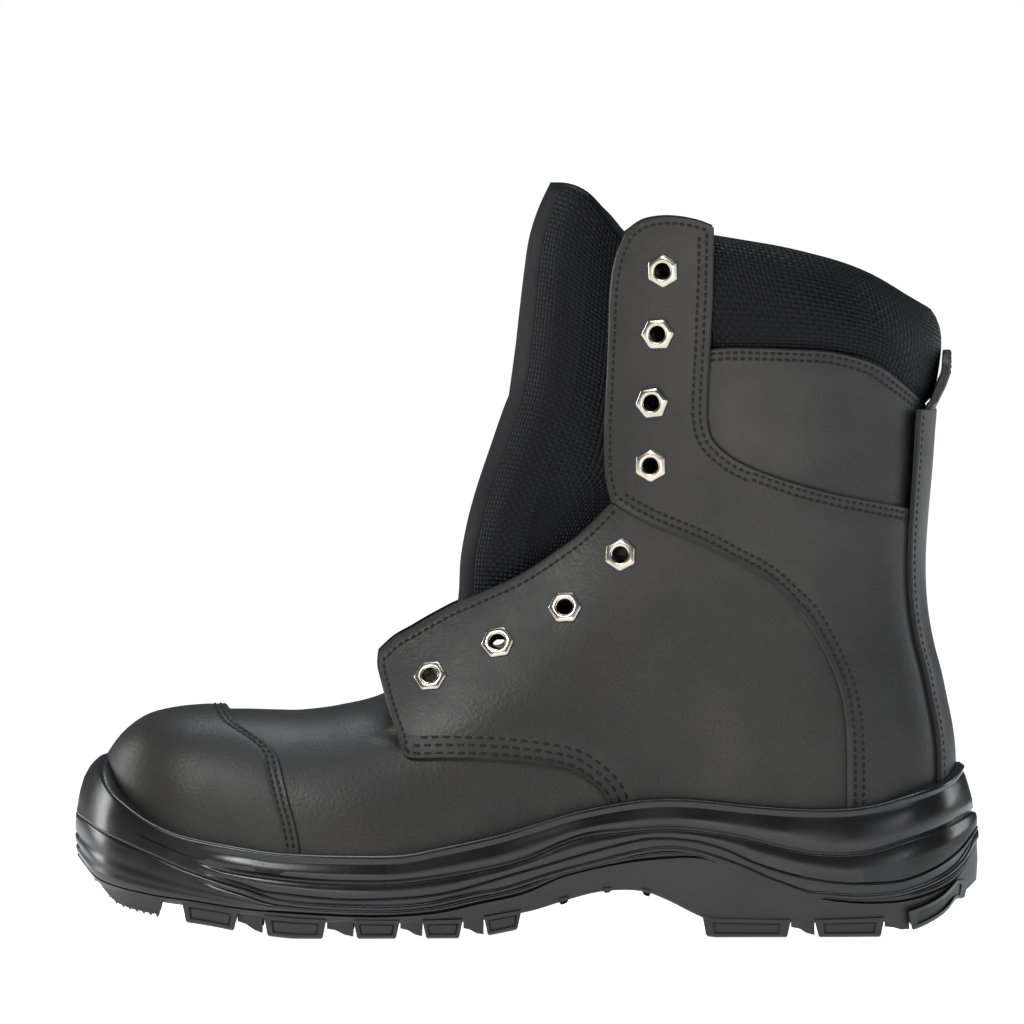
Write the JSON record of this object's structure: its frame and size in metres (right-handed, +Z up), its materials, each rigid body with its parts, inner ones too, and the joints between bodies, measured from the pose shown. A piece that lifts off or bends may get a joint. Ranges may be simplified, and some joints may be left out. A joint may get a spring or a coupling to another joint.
{
  "type": "safety boot",
  "caption": "Lace-up fire boot for the left foot: leather upper with hexagonal eyelets, padded collar and tongue, steel toe cap and moulded lugged sole.",
  "frame": {"origin": "on the ground, below the middle of the length and width of the boot", "axes": "-X towards the toe, -Y towards the outer side of the left foot, +Z up"},
  "size_m": [0.31, 0.1133, 0.2578],
  "materials": {
    "black_leather": "satin, fine grain",
    "ballistic_textile": "coarse plain weave",
    "lining_textile": "brushed knit",
    "moulded_midsole": "satin gloss polyurethane",
    "rubber_tread": "matt rubber",
    "nickel": "polished nickel",
    "steel": "plain",
    "foam": "open-cell foam",
    "fibre_board": "pressed fibre"
  },
  "bodies": {
    "root": {"outsole": "rubber_tread", "midsole": "moulded_midsole", "shank": "steel", "penetration_plate": "steel", "insole_board": "fibre_board", "toe_cap": "steel", "toe_cap_edge_strip": "rubber_tread", "heel_counter": "fibre_board", "vamp": "black_leather", "toe_overlay": "black_leather", "quarter_lateral": "black_leather", "quarter_medial": "black_leather", "rear_panel_lateral": "black_leather", "rear_panel_medial": "black_leather", "shaft_panel_lateral": "black_leather", "shaft_panel_medial": "black_leather", "backstay": "black_leather", "collar_cover": "ballistic_textile", "collar_foam": "foam", "leg_lining": "lining_textile", "vamp_lining": "lining_textile", "eyelet_stay_lateral": "black_leather", "eyelet_stay_medial": "black_leather", "lower_eyelets_lateral": "nickel", "lower_eyelets_medial": "nickel", "lower_washers_lateral": "steel", "lower_washers_medial": "steel", "gusset_lateral": "ballistic_textile", "gusset_medial": "ballistic_textile"},
    "facing_flap_lateral": {"facing_lateral": "black_leather", "facing_stay_lateral": "black_leather", "facing_lining_lateral": "lining_textile", "upper_eyelets_lateral": "nickel", "upper_washers_lateral": "steel"},
    "facing_flap_medial": {"facing_medial": "black_leather", "facing_stay_medial": "black_leather", "facing_lining_medial": "lining_textile", "upper_eyelets_medial": "nickel", "upper_washers_medial": "steel"},
    "tongue": {"tongue_cover": "ballistic_textile", "tongue_foam": "foam", "tongue_lining": "lining_textile"},
    "footbed": {"footbed": "foam", "footbed_cover": "ballistic_textile"},
    "pull_tab": {"pull_tab": "black_leather"}
  },
  "joints": [
    {"name": "tongue_swing", "type": "hinge", "parent": "root", "child": "tongue", "pos_m": [-0.018, 0, 0.104], "axis": [0, -1, 0], "range_deg": [-6, 25], "deforming": ["gusset_lateral", "gusset_medial"]},
    {"name": "facing_open_lateral", "type": "hinge", "parent": "root", "child": "facing_flap_lateral", "pos_m": [0.0615, -0.0415, 0.2], "axis": [0, 0, 1], "range_deg": [0, 15]},
    {"name": "facing_open_medial", "type": "hinge", "parent": "root", "child": "facing_flap_medial", "pos_m": [0.0615, 0.0415, 0.2], "axis": [0, 0, -1], "range_deg": [0, 15]},
    {"name": "footbed_lift", "type": "hinge", "parent": "root", "child": "footbed", "pos_m": [-0.1365, 0, 0.028], "axis": [0, -1, 0], "range_deg": [0, 7]},
    {"name": "pull_tab_flex", "type": "hinge", "parent": "root", "child": "pull_tab", "pos_m": [0.1405, 0, 0.181], "axis": [0, 1, 0], "range_deg": [0, 25]}
  ]
}
